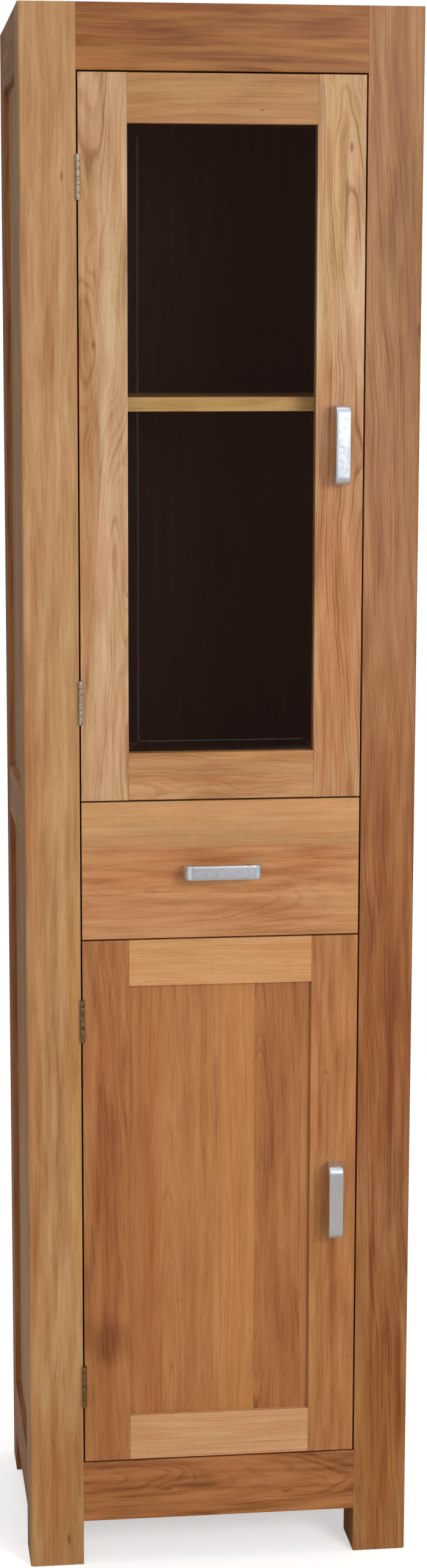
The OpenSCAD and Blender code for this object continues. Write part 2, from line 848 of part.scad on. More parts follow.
front_left_leg();
front_right_leg();
back_left_leg();
back_right_leg();
top_front_rail();
bottom_front_rail();
back_top_rail();
back_bottom_rail();
left_top_rail();
left_mid_rail();
left_bottom_rail();
left_upper_panel();
left_lower_panel();
right_top_rail();
right_mid_rail();
right_bottom_rail();
right_upper_panel();
right_lower_panel();
top_panel();
back_panel();
upper_floor();
drawer_divider();
bottom_panel();
upper_shelf();
lower_shelf();
shelf_pins();
drawer_runners();
runner_screws();
hinge_frame_leaves();
hinge_pins();
hinge_frame_screws();
catch_bodies();
upper_door_hinge_stile();
upper_door_handle_stile();
upper_door_top_rail();
upper_door_bottom_rail();
glass_pane();
glazing_beads();
upper_door_handle();
upper_door_handle_screws();
upper_door_hinge_leaves();
upper_door_hinge_screws();
upper_catch_strike();
lower_door_hinge_stile();
lower_door_handle_stile();
lower_door_top_rail();
lower_door_bottom_rail();
lower_door_panel();
lower_door_handle();
lower_door_handle_screws();
lower_door_hinge_leaves();
lower_door_hinge_screws();
lower_catch_strike();
drawer_front();
drawer_left_side();
drawer_right_side();
drawer_back();
drawer_bottom();
drawer_handle();
drawer_handle_screws();
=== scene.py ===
"""Looks of the oak pantry cabinet: solid oak boards with their own grain, satin aluminium bow
handles, nickel butt hinges and bevelled clear glass, in soft studio light on a pale floor."""

import json
import math

import bmesh
import bpy
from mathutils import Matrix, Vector


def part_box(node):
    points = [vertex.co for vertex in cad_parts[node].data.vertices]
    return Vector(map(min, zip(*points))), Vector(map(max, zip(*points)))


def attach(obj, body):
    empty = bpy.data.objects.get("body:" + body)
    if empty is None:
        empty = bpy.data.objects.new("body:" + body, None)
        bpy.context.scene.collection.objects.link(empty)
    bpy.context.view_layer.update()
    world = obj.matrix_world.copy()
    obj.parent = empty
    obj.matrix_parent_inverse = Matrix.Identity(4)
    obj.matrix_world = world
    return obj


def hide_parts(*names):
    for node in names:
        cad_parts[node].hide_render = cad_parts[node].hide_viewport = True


MM = 0.001

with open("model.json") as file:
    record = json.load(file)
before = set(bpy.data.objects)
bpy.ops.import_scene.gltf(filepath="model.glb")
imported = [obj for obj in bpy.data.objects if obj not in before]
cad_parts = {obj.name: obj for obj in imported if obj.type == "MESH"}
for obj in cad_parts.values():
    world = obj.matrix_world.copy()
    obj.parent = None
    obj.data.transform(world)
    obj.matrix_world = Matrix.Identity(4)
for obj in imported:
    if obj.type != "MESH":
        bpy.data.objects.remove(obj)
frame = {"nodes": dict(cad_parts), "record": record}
nodes = frame["nodes"]
scene = bpy.context.scene
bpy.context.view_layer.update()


# ---------- Camera ----------

# place in m, yaw and pitch in degrees, lens and sensor in mm, shift in shares of the longer side
CAMERA_PLACE = (-0.409, -3.225, 1.433)
CAMERA_YAW = 6.66
CAMERA_PITCH = 9.30
CAMERA_LENS = 62.94
CAMERA_SENSOR = 36
CAMERA_SHIFT = (0.0235, 0.0058)


def add_camera():
    data = bpy.data.cameras.new("camera")
    data.sensor_width = CAMERA_SENSOR
    data.lens = CAMERA_LENS
    data.shift_x, data.shift_y = CAMERA_SHIFT
    camera = bpy.data.objects.new("camera", data)
    camera.location = CAMERA_PLACE
    camera.rotation_euler = (math.radians(90 - CAMERA_PITCH), 0, math.radians(-CAMERA_YAW))
    scene.collection.objects.link(camera)
    scene.camera = camera


# ---------- Shader graphs ----------

WHITE = (1.0, 1.0, 1.0, 1.0)
# the sockets that a Mix node uses for colours
MIX_SHARE, MIX_FIRST, MIX_SECOND, MIX_RESULT = 0, 6, 7, 2


def tone(red, green, blue):
    """A colour as the 0 to 255 values of a paint chart, turned into linear light (sRGB)."""
    linear = []
    for value in (red, green, blue):
        share = value / 255
        linear.append(share / 12.92 if share <= 0.04045 else ((share + 0.055) / 1.055) ** 2.4)
    return (*linear, 1.0)


class Graph:
    """Short ways to add shader nodes to one tree. A value may be a number or another socket."""

    def __init__(self, tree):
        self.tree = tree

    def add(self, kind, **settings):
        node = self.tree.nodes.new(kind)
        for name, value in settings.items():
            setattr(node, name, value)
        return node

    def feed(self, socket, value):
        if isinstance(value, bpy.types.NodeSocket):
            self.tree.links.new(value, socket)
        else:
            socket.default_value = value

    def run(self, node, values, output=0):
        for key, value in values.items():
            self.feed(node.inputs[key], value)
        return node.outputs[output]

    def math(self, operation, *values, clamp=False):
        node = self.add("ShaderNodeMath", operation=operation, use_clamp=clamp)
        return self.run(node, dict(enumerate(values)))

    def vector(self, operation, *values):
        node = self.add("ShaderNodeVectorMath", operation=operation)
        output = "Value" if operation in ("LENGTH", "DOT_PRODUCT") else "Vector"
        return self.run(node, dict(enumerate(values)), output)

    def join(self, x, y, z):
        return self.run(self.add("ShaderNodeCombineXYZ"), {0: x, 1: y, 2: z})

    def split(self, vector):
        node = self.add("ShaderNodeSeparateXYZ")
        self.feed(node.inputs[0], vector)
        return node.outputs[0], node.outputs[1], node.outputs[2]

    def noise(self, vector, scale=1.0, detail=1.0, output=0):
        node = self.add("ShaderNodeTexNoise")
        return self.run(node, {"Vector": vector, "Scale": scale, "Detail": detail}, output)

    def mix(self, share, first, second, blend="MIX"):
        node = self.add("ShaderNodeMix", data_type="RGBA", blend_type=blend)
        values = {MIX_SHARE: share, MIX_FIRST: first, MIX_SECOND: second}
        return self.run(node, values, MIX_RESULT)

    def ease(self, value, low, high, start=0.0, end=1.0):
        """Goes smoothly from start to end as value goes from low to high."""
        node = self.add("ShaderNodeMapRange", interpolation_type="SMOOTHSTEP")
        return self.run(node, {0: value, 1: low, 2: high, 3: start, 4: end})

    def scaled(self, value, factor, offset=0.0):
        return self.math("MULTIPLY_ADD", value, factor, offset)

    def object_place(self):
        """The place on the piece at rest, in metres, which moves and turns with the piece."""
        return self.add("ShaderNodeTexCoord").outputs["Object"]


def new_material(name):
    """A material with a Principled shader, and the graph that feeds it."""
    material = bpy.data.materials.new(name)
    material.use_nodes = True
    shader = material.node_tree.nodes["Principled BSDF"]
    return material, Graph(material.node_tree), shader


def settle(node, values):
    """Sets the sockets that hold one value all over the surface."""
    for name, value in values.items():
        node.inputs[name].default_value = value


def add_relief(g, shader, height, strength, depth):
    """Bump from a height in which 1 stands for depth mm."""
    bump = g.add("ShaderNodeBump")
    settle(bump, {"Strength": strength, "Distance": depth * MM})
    g.feed(bump.inputs["Height"], height)
    g.feed(shader.inputs["Normal"], bump.outputs[0])


def let_through(material, g, shader, share, colour=WHITE):
    """Mixes the shader with one that rays pass straight through, by share."""
    clear = g.add("ShaderNodeBsdfTransparent")
    settle(clear, {"Color": colour})
    blend = g.add("ShaderNodeMixShader")
    for index, value in enumerate((share, shader.outputs[0], clear.outputs[0])):
        g.feed(blend.inputs[index], value)
    g.feed(material.node_tree.nodes["Material Output"].inputs["Surface"], blend.outputs[0])


# ---------- Oak ----------

# rings, pith and wave are in mm; the rest are strengths and slopes
OAK_VALUES = {
    "Seed": 0.0,
    "Ring": 2.8,
    "Pith V": -70.0,
    "Pith W": 15.0,
    "Slope V": 0.0,
    "Slope W": 0.0,
    "Wave": 5.0,
    "Contrast": 0.45,
    "Streak": 0.3,
    "Blotch": 0.45,
    "Cast": 0.7,
    "Pores": 0.3,
}
OAK_COLOURS = ("Dark", "Mid", "Light")
OAK_KNOTS = ("Knot A", "Knot B")
OAK_SWELL = "Swell"

OLIVE_CAST = (0.97, 1.0, 0.94, 1.0)
WARM_CAST = (1.0, 0.93, 0.90, 1.0)
PORE_TONE = (84, 48, 26)
KNOT_TONE = (128, 70, 26)
KNOT_TONE_SHARE = 0.8

# here and below, an edge is the pair of values between which something fades in or out
CAST_EDGE = (0.38, 0.62)
FAINT_EDGE = (0.3, 0.65)
KNOT_EDGE = (0.1, 0.8)
PORE_EDGE = (0.56, 0.70)

# how far apart in the noise two boards are whose seeds differ by one
SEED_STEP = 137.0

# how long along the grain and how wide across it the features of each field are, in mm
DRIFT = (300, 80)
RIPPLE = (85, 26)
BLOTCH = (300, 24)
SMOKE = (95, 9)
FIBRE = (26, 0.8)
SILK = (90, 1.7)
PORE = (9.0, 0.5)
# the length of features that follow the rings, in mm, and how fast they change with the years
STREAK = (300, 0.4)
VEIN = (130, 1.6)
FAINT = (140, 0.8)
UNEVEN_PACE = 0.4

# how far drift and ripple move the rings, in waves
DRIFT_SWING = 4.0
RIPPLE_SWING = 0.8
# how many years the rings wander by, slowly and in the fibres
UNEVEN_YEARS = 2.6
FIBRE_YEARS = 0.28
# a year's dark band: where it is full and where it has faded, as shares of the year
BAND_FULL = 0.24
BAND_END = 0.66

# how much a step along the grain counts, beside one across it, round knots and swells
KNOT_SLIMNESS = 0.3
SWELL_SLIMNESS = 0.12
KNOT_PUSH = -2.2
NOT_ZERO = 0.01

# the level that the tones vary round, and how much smoke, veins, silk and fibres move it
BASE_LEVEL = 0.6
SMOKE_SHARE = 1.6
VEIN_SHARE = 0.4
SILK_SHARE = 0.18
FIBRE_SHARE = 0.30

# the pores' strength and the roughness, each with what the bands and fibres add to it
PORES_EVERYWHERE = 0.3
PORES_IN_BAND = 0.75
OAK_ROUGHNESS = 0.36
BAND_ROUGHNESS = 0.10
FIBRE_ROUGHNESS = 0.12

BAND_HEIGHT = -0.25


def oak_group():
    """The grain of a sawn oak board. Board holds millimetres along the grain, across the face and
    into the wood. Growth rings are shells round the pith, which runs along the board at Pith V
    and Pith W and leans by the slopes, so a face cuts them as straight lines or as arches. A knot
    is a place along, a place across and a radius. A swell is a long knot that never surfaced.
    The level goes from 0, the dark tone, over 0.5, the middle one, to 1, the light one."""
    tree = bpy.data.node_groups.new("Oak", "ShaderNodeTree")
    g = Graph(tree)
    sockets = [("INPUT", "Vector", ("Board",)), ("INPUT", "Float", OAK_VALUES)]
    sockets += [("INPUT", "Color", OAK_COLOURS), ("INPUT", "Vector", (*OAK_KNOTS, OAK_SWELL))]
    sockets += [("OUTPUT", "Color", ("Color",)), ("OUTPUT", "Float", ("Height", "Roughness"))]
    for way, kind, names in sockets:
        for name in names:
            tree.interface.new_socket(name=name, in_out=way, socket_type="NodeSocket" + kind)
    given = g.add("NodeGroupInput").outputs
    along, across, depth = g.split(given["Board"])

    seed = g.math("MULTIPLY", given["Seed"], SEED_STEP)
    own_along = g.math("ADD", along, seed)
    own_across = g.math("ADD", across, seed)

    def field(size, detail, output=0):
        """Noise in the board, each board with its own, whose features have about that size."""
        length, width = size
        place = g.join(
            g.scaled(own_along, 1 / length),
            g.scaled(own_across, 1 / width),
            g.scaled(depth, 1 / width),
        )
        return g.noise(place, detail=detail, output=output)

    # the slow drift and the small ripple of the fibres
    drift = g.split(field(DRIFT, 1.0, "Color"))
    ripple = g.split(field(RIPPLE, 1.0, "Color"))
    swing = g.math("MULTIPLY", given["Wave"], DRIFT_SWING)
    shake = g.math("MULTIPLY", given["Wave"], RIPPLE_SWING)

    def wandered(place, slope, pith, axis):
        """The way from the pith along one axis, with the pith's lean and the fibres' wander."""
        lean = g.math("MULTIPLY_ADD", along, g.math("MULTIPLY", slope, -1.0), place)
        moved = g.math("SUBTRACT", lean, pith)
        moved = g.math("MULTIPLY_ADD", g.scaled(drift[axis], 1.0, -0.5), swing, moved)
        return g.math("MULTIPLY_ADD", g.scaled(ripple[axis], 1.0, -0.5), shake, moved)

    ring_across = wandered(across, given["Slope V"], given["Pith V"], 0)
    ring_depth = wandered(depth, given["Slope W"], given["Pith W"], 1)

    # the fibres flow round each knot and swell
    knot_core = 0.0
    for name in (*OAK_KNOTS, OAK_SWELL):
        knot_along, knot_across, knot_r = g.split(given[name])
        away = g.math("SUBTRACT", across, knot_across)
        slimness = SWELL_SLIMNESS if name == OAK_SWELL else KNOT_SLIMNESS
        off = g.join(g.scaled(g.math("SUBTRACT", along, knot_along), slimness), away, 0.0)
        distance = g.vector("LENGTH", off)
        knot_area = g.math("POWER", knot_r, 2.0)
        spread = g.math("MULTIPLY_ADD", distance, distance, knot_area)
        spread = g.math("ADD", spread, NOT_ZERO)
        bend = g.math("DIVIDE", g.math("MULTIPLY", away, knot_area), spread)
        ring_across = g.math("MULTIPLY_ADD", bend, KNOT_PUSH, ring_across)
        if name != OAK_SWELL:
            core = g.math("SUBTRACT", knot_r, distance)
            core = g.math("DIVIDE", core, g.math("ADD", knot_r, NOT_ZERO))
            knot_core = g.math("MAXIMUM", knot_core, g.ease(core, *KNOT_EDGE))

    # blotches and fibres follow the board, and the fibres make the edge of each ring ragged
    blotch, cast, _ = g.split(field(BLOTCH, 1.5, "Color"))
    smoke, warmth, _ = g.split(field(SMOKE, 2.0, "Color"))
    fibre = field(FIBRE, 2.0)
    silk = field(SILK, 1.5)

    radius = g.vector("LENGTH", g.join(ring_across, ring_depth, 0.0))
    years = g.math("DIVIDE", radius, given["Ring"])
    uneven = g.noise(g.join(g.scaled(years, UNEVEN_PACE), seed, 0.0), detail=1.0)
    years = g.math("MULTIPLY_ADD", uneven, UNEVEN_YEARS, years)
    years = g.math("MULTIPLY_ADD", fibre, FIBRE_YEARS, years)
    season = g.math("FRACT", years)
    year = g.add("ShaderNodeTexWhiteNoise", noise_dimensions="1D")
    g.feed(year.inputs["W"], g.math("ADD", g.math("FLOOR", years), seed))
    start = g.ease(season, 0.0, BAND_FULL)
    fade = g.ease(season, BAND_FULL, BAND_END, 1.0, 0.0)

    def ring_field(size, detail):
        """Noise that follows the rings."""
        length, pace = size
        place = g.join(g.scaled(own_along, 1 / length), g.scaled(years, pace), seed)
        return g.noise(place, detail=detail)

    strength = g.scaled(year.outputs[0], 0.5, 0.5)
    strength = g.math("MULTIPLY", strength, g.ease(ring_field(FAINT, 1.0), *FAINT_EDGE))
    band = g.math("MULTIPLY", g.math("MULTIPLY", start, fade), strength)
    streak = ring_field(STREAK, 1.5)
    vein = ring_field(VEIN, 1.0)

    def swayed(level, noise, strength):
        """The level moved up or down by up to strength."""
        return g.math("MULTIPLY_ADD", g.scaled(noise, 2.0, -1.0), strength, level)

    level = swayed(BASE_LEVEL, blotch, given["Blotch"])
    level = swayed(level, smoke, g.scaled(given["Blotch"], SMOKE_SHARE))
    level = swayed(level, streak, given["Streak"])
    level = swayed(level, vein, g.math("MULTIPLY", given["Contrast"], VEIN_SHARE))
    level = swayed(level, silk, SILK_SHARE)
    level = swayed(level, fibre, FIBRE_SHARE)
    level = g.math("SUBTRACT", level, g.math("MULTIPLY", band, given["Contrast"]))

    pore = g.ease(field(PORE, 0.0), *PORE_EDGE)
    pore = g.math("MULTIPLY", pore, g.scaled(band, PORES_IN_BAND, PORES_EVERYWHERE))
    hollow = g.math("MULTIPLY", pore, given["Pores"])

    low = g.math("MULTIPLY", level, 2.0, clamp=True)
    high = g.math("MULTIPLY_ADD", level, 2.0, -1.0, clamp=True)
    colour = g.mix(low, given["Dark"], given["Mid"])
    colour = g.mix(high, colour, given["Light"])
    tint = g.math("MULTIPLY_ADD", warmth, 0.5, g.scaled(cast, 0.5))
    tint = g.mix(g.ease(tint, *CAST_EDGE), OLIVE_CAST, WARM_CAST)
    colour = g.mix(given["Cast"], colour, tint, "MULTIPLY")
    colour = g.mix(hollow, colour, tone(*PORE_TONE))
    knot_share = g.math("MULTIPLY", knot_core, KNOT_TONE_SHARE)
    colour = g.mix(knot_share, colour, tone(*KNOT_TONE))

    height = g.math("ADD", g.math("MULTIPLY", pore, -1.0), g.scaled(band, BAND_HEIGHT))
    shine = g.scaled(band, BAND_ROUGHNESS, OAK_ROUGHNESS)
    shine = g.math("ADD", shine, g.scaled(fibre, FIBRE_ROUGHNESS))
    last = g.add("NodeGroupOutput")
    for name, value in (("Color", colour), ("Height", height), ("Roughness", shine)):
        g.feed(last.inputs[name], value)
    return tree


OAK = oak_group()
AXIS = {"x": 0, "y": 1, "z": 2}


class Oak:
    """One oak board's look: its three tones, its grain values, knots, swell and tinted patches.
    Places are shares of the board, from 0 to 1 along the grain and across the face. A knot or a
    swell is a place along, a place across and a radius in mm. A patch is a place along, a place
    across, a length and a width in mm, the colour that it multiplies by, and its strength."""

    def __init__(self, tones, seed, knots=(), swell=(0.5, 0.5, 0.0), patches=(), **grain):
        self.tones = tones
        self.seed = seed
        self.places = dict(zip(OAK_KNOTS, knots))
        self.places[OAK_SWELL] = swell
        self.patches = patches
        self.grain = grain


def board_place(g, low, high, order):
    """Millimetres from the board's middle, in the order along, across, depth."""
    middle = tuple((low[i] + high[i]) / 2 for i in range(3))
    place = g.vector("SUBTRACT", g.object_place(), middle)
    place = g.vector("SCALE", place)
    settle(place.node, {"Scale": 1 / MM})
    parts = g.split(place)
    return g.join(*(parts[AXIS[letter]] for letter in order))


# the grit that makes a patch's outline ragged, and where the patch fades, in its own radii
PATCH_GRIT = (0.012, 0.06, 0.06)
PATCH_RAGGED = 1.1
PATCH_EDGE = (0.75, 1.65)


def grain_nodes(g, board, look, size):
    """The colour, height and roughness of one strip of oak. size is its length and width in mm."""

    def from_middle(along, across, third):
        return ((along - 0.5) * size[0], (across - 0.5) * size[1], third)

    group = g.add("ShaderNodeGroup", node_tree=OAK)
    g.feed(group.inputs["Board"], board)
    for name, value in OAK_VALUES.items():
        group.inputs[name].default_value = look.grain.get(name.replace(" ", "_").lower(), value)
    settle(group, {"Seed": look.seed})
    settle(group, {name: tone(*colour) for name, colour in zip(OAK_COLOURS, look.tones)})
    settle(group, {name: from_middle(*place) for name, place in look.places.items()})
    colour = group.outputs["Color"]
    for along, across, length, width, tint, strength in look.patches:
        off = g.vector("SUBTRACT", board, from_middle(along, across, 0))
        off = g.vector("MULTIPLY", off, (2 / length, 2 / width, 0))
        ragged = g.noise(g.vector("MULTIPLY", board, PATCH_GRIT), detail=2.0)
        distance = g.math("MULTIPLY_ADD", ragged, PATCH_RAGGED, g.vector("LENGTH", off))
        share = g.ease(distance, *PATCH_EDGE, strength, 0.0)
        colour = g.mix(share, colour, tone(*tint), "MULTIPLY")
    return colour, group.outputs["Height"], group.outputs["Roughness"]


# how far each side of a seam two strips run into each other, in mm
SEAM_BLUR = 0.3
# here and below, a relief is its strength and its depth in mm
OAK_RELIEF = (0.35, 0.12)


def oak_material(name, low, high, order, looks, seams=()):
    """Satin lacquered oak. Several looks make a board glued up from strips, which meet at the
    seams, given as shares of its width."""
    material, g, shader = new_material(name)
    size = [(high[AXIS[letter]] - low[AXIS[letter]]) / MM for letter in order]
    board = board_place(g, low, high, order)
    colour, height, shine = grain_nodes(g, board, looks[0], size)
    across = g.split(board)[1]
    for look, seam in zip(looks[1:], seams):
        other = grain_nodes(g, board, look, size)
        seam_at = (seam - 0.5) * size[1]
        past = g.ease(across, seam_at - SEAM_BLUR, seam_at + SEAM_BLUR)
        colour = g.mix(past, colour, other[0])
        height = g.mix(past, height, other[1])
        shine = g.mix(past, shine, other[2])
    g.feed(shader.inputs["Base Color"], colour)
    g.feed(shader.inputs["Roughness"], shine)
    add_relief(g, shader, height, *OAK_RELIEF)
    settle(shader, {"Specular IOR Level": 0.35, "Coat Weight": 0.12, "Coat Roughness": 0.28})
    return material


def dress(name, material):
    """Gives a CAD node one material in all its slots."""
    mesh = nodes[name].data
    if not mesh.materials:
        mesh.materials.append(material)
    for index in range(len(mesh.materials)):
        mesh.materials[index] = material


def dress_oak(name, order, *looks, seams=()):
    low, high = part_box(name)
    dress(name, oak_material("oak_" + name, low, high, order, looks, seams))


# the axes along the grain, across the face and into the wood
UPRIGHT = "zxy"
ACROSS = "xzy"
SIDE_UPRIGHT = "zyx"
SIDE_ACROSS = "yzx"
FLOOR = "xyz"
DEEP = "yxz"

# the dark, middle and light tone of each kind of board
HONEY = ((152, 100, 54), (177, 132, 87), (196, 157, 112))
RED = ((124, 74, 40), (156, 107, 65), (176, 130, 88))
RUST = ((114, 61, 24), (149, 94, 42), (170, 114, 60))
BROWN = ((117, 66, 30), (156, 99, 54), (180, 121, 74))
PALE = ((158, 112, 70), (189, 149, 108), (208, 173, 137))
TAN = ((154, 102, 58), (179, 131, 86), (198, 153, 108))
GOLD = ((160, 104, 60), (184, 129, 84), (200, 149, 104))
AMBER = ((142, 86, 42), (173, 115, 68), (192, 138, 88))
GINGER = ((154, 94, 44), (184, 124, 70), (202, 146, 92))
UMBER = ((122, 70, 34), (164, 106, 60), (184, 126, 78))
SHELL = ((184, 130, 86), (203, 155, 111), (217, 174, 132))
STRAW = ((180, 122, 70), (199, 147, 95), (212, 164, 115))
SHELF = ((202, 162, 98), (226, 190, 124), (234, 202, 142))


def dress_front():
    """The boards that the camera sees from the front, each with the look of its own board."""
    dress_oak("front_left_leg", UPRIGHT, Oak(
        HONEY, 1.0, ring=2.6, pith_v=-95, pith_w=10, slope_v=0.012, wave=7, contrast=0.18,
        blotch=0.38, knots=((0.897, 0.75, 2.6), (0.018, 0.72, 3.2)), swell=(0.965, 0.1, 12.0),
        patches=((0.35, 0.88, 1000, 26, (255, 250, 212), 0.7),
                 (0.35, 0.12, 1300, 22, (244, 218, 196), 0.7),
                 # painted shade: the foot of the leg tinted darker and more saturated, for the
                 # dimmer light near the floor
                 (0.06, 0.45, 260, 90, (242, 218, 184), 0.7)),
    ))
    dress_oak("front_right_leg", UPRIGHT, Oak(
        RED, 2.0, ring=2.1, pith_v=-66, pith_w=34, slope_v=-0.03, slope_w=0.02, wave=5,
        contrast=0.42, streak=0.4, blotch=0.36,
        knots=((0.804, 0.97, 4.0),),
        patches=((0.33, 0.62, 500, 12, (212, 176, 146), 0.9),
                 (0.20, 0.30, 360, 10, (208, 168, 134), 0.9),
                 (0.12, 0.84, 300, 11, (208, 168, 134), 0.9),
                 (0.40, 0.5, 900, 140, (240, 214, 188), 1.0),
                 (0.10, 0.5, 500, 140, (250, 232, 196), 1.0),
                 (0.85, 0.7, 500, 60, (242, 240, 222), 0.9)),
    ))
    dress_oak("top_front_rail", ACROSS, Oak(
        RUST, 3.0, ring=2.2, pith_v=-70, pith_w=30, slope_v=-0.05, wave=8, contrast=0.3,
        patches=((0.83, 0.62, 110, 30, (206, 164, 158), 0.6),
                 (0.5, 0.95, 520, 18, (216, 190, 170), 0.7)),
    ))
    dress_oak("bottom_front_rail", ACROSS, Oak(
        BROWN, 4.0, ring=2.6, pith_v=10, pith_w=14, slope_w=0.10, wave=11, contrast=0.34,
        blotch=0.6,
        knots=((0.33, 0.5, 4.0), (0.72, 0.35, 3.0)),
    ))
    dress_oak("upper_door_hinge_stile", UPRIGHT, Oak(
        PALE, 5.0, ring=3.2, pith_v=-30, pith_w=18, slope_v=0.03, slope_w=-0.02, wave=14,
        contrast=0.45, streak=0.25, knots=((0.635, 0.3, 2.2),), swell=(0.33, 0.85, 11.0),
        patches=((0.5, 0.08, 1100, 44, (232, 210, 184), 0.9),
                 (0.35, 0.45, 200, 40, (255, 240, 238), 0.8)),
    ))
    dress_oak("upper_door_handle_stile", UPRIGHT, Oak(
        PALE, 6.0, ring=3.0, pith_v=24, pith_w=4, slope_w=0.03, slope_v=-0.04, wave=10,
        contrast=0.6, streak=0.3,
        knots=((0.903, 0.7, 3.0),),
        patches=((0.25, 0.5, 760, 110, (238, 206, 180), 1.0),
                 (0.85, 0.35, 500, 50, (244, 236, 206), 0.8)),
    ))
    dress_oak("upper_door_top_rail", ACROSS, Oak(
        TAN, 7.0, ring=2.0, pith_v=-90, pith_w=12, slope_v=0.02, wave=6, contrast=0.2,
        blotch=0.3, knots=((0.66, 0.28, 1.4),),
        patches=((0.5, 0.5, 900, 200, (246, 244, 230), 1.0),),
    ))
    dress_oak("upper_door_bottom_rail", ACROSS, Oak(
        TAN, 8.0, ring=2.8, pith_v=-30, pith_w=22, slope_v=-0.03, wave=14, contrast=0.35,
        patches=((0.5, 0.95, 420, 22, (255, 248, 232), 0.9),
                 (0.5, 0.45, 380, 24, (242, 220, 204), 0.8)),
    ))
    dress_oak(
        "drawer_front", ACROSS,
        Oak(GOLD, 9.0, ring=2.4, pith_v=-40, pith_w=18, slope_w=0.04, wave=8, contrast=0.3),
        Oak(GOLD, 9.4, ring=3.0, pith_v=-20, pith_w=14, slope_w=0.05, wave=10, contrast=0.25,
            blotch=0.7, patches=((0.3, 0.5, 420, 70, (244, 228, 210), 0.9),
                                 (0.85, 0.5, 160, 40, (244, 228, 210), 0.7))),
        Oak(STRAW, 9.8, ring=1.8, pith_v=-60, pith_w=10, wave=3, contrast=0.3, streak=0.1,
            blotch=0.25, patches=((0.5, 0.5, 900, 200, (234, 238, 246), 1.0),)),
        seams=(0.33, 0.67),
    )
    dress_oak("lower_door_hinge_stile", UPRIGHT, Oak(
        UMBER, 10.0, ring=2.3, pith_v=-48, pith_w=20, slope_v=-0.09, wave=7, contrast=0.36,
        blotch=0.35,
        patches=((0.23, 0.5, 70, 70, (204, 186, 168), 0.8),
                 (0.5, 0.5, 560, 40, (246, 228, 220), 0.7)),
    ))
    dress_oak("lower_door_handle_stile", UPRIGHT, Oak(
        AMBER, 11.0, ring=2.2, pith_v=-80, pith_w=18, slope_v=0.01, wave=5, contrast=0.25,
        knots=((0.74, 0.35, 1.5),),
    ))
    dress_oak("lower_door_top_rail", ACROSS, Oak(
        STRAW, 12.0, ring=2.6, pith_v=-80, pith_w=12, wave=3, contrast=0.38, streak=0.2,
        blotch=0.25,
    ))
    dress_oak("lower_door_bottom_rail", ACROSS, Oak(
        SHELL, 13.0, ring=2.4, pith_v=-85, pith_w=12, wave=3, contrast=0.5, streak=0.2,
        blotch=0.25,
    ))
    dress_oak(
        "lower_door_panel", UPRIGHT,
        Oak(AMBER, 14.0, ring=2.2, pith_v=-60, pith_w=12, slope_w=0.03, contrast=0.3, blotch=0.25,
            streak=0.2, patches=((0.5, 0.1, 900, 60, (246, 234, 220), 0.8),)),
        Oak(AMBER, 14.3, ring=2.2, pith_v=-60, pith_w=16, contrast=0.25, blotch=0.25, streak=0.2,
            patches=((0.6, 0.45, 700, 14, (255, 255, 226), 0.8),)),
        Oak(GINGER, 14.5, ring=2.4, pith_v=-50, pith_w=12, slope_w=0.03, contrast=0.3, blotch=0.2,
            streak=0.2),
        Oak(UMBER, 14.7, ring=2.0, pith_v=46, pith_w=4, slope_w=0.06, wave=6, contrast=0.35,
            blotch=0.32),
        Oak(AMBER, 14.9, ring=2.2, pith_v=60, pith_w=12, wave=4, contrast=0.25, blotch=0.2),
        seams=(0.4, 0.51, 0.68, 0.925),
    )


# how deep the pith of a strip lies, in mm, and how far the strips of one board may differ
STRIP_DEPTH = 24
STRIP_SHADE = 6
STRIP_PITH_V = 60
STRIP_PITH_W = 8
STRIP_SLOPE = 0.03
STRIP_SEED_STEP = 0.37


def strips(tones, seed, count, **grain):
    """The looks and seams of a wide board glued up from equal strips, each with its own grain.
    turn is a fixed number from -1 to 1 that tells the strips apart."""
    looks = []
    for index in range(count):
        turn = math.sin(seed * 12.9 + index * 4.1)
        shade = STRIP_SHADE * turn
        own = tuple(tuple(value + shade for value in colour) for colour in tones)
        values = {
            "pith_v": STRIP_PITH_V * turn,
            "pith_w": STRIP_DEPTH + STRIP_PITH_W * turn,
            "slope_w": STRIP_SLOPE * turn,
            **grain,
        }
        looks.append(Oak(own, seed + STRIP_SEED_STEP * index, **values))
    return looks, [(index + 1) / count for index in range(count - 1)]


def dress_strips(name, order, tones, seed, count, **grain):
    looks, seams = strips(tones, seed, count, **grain)
    dress_oak(name, order, *looks, seams=seams)


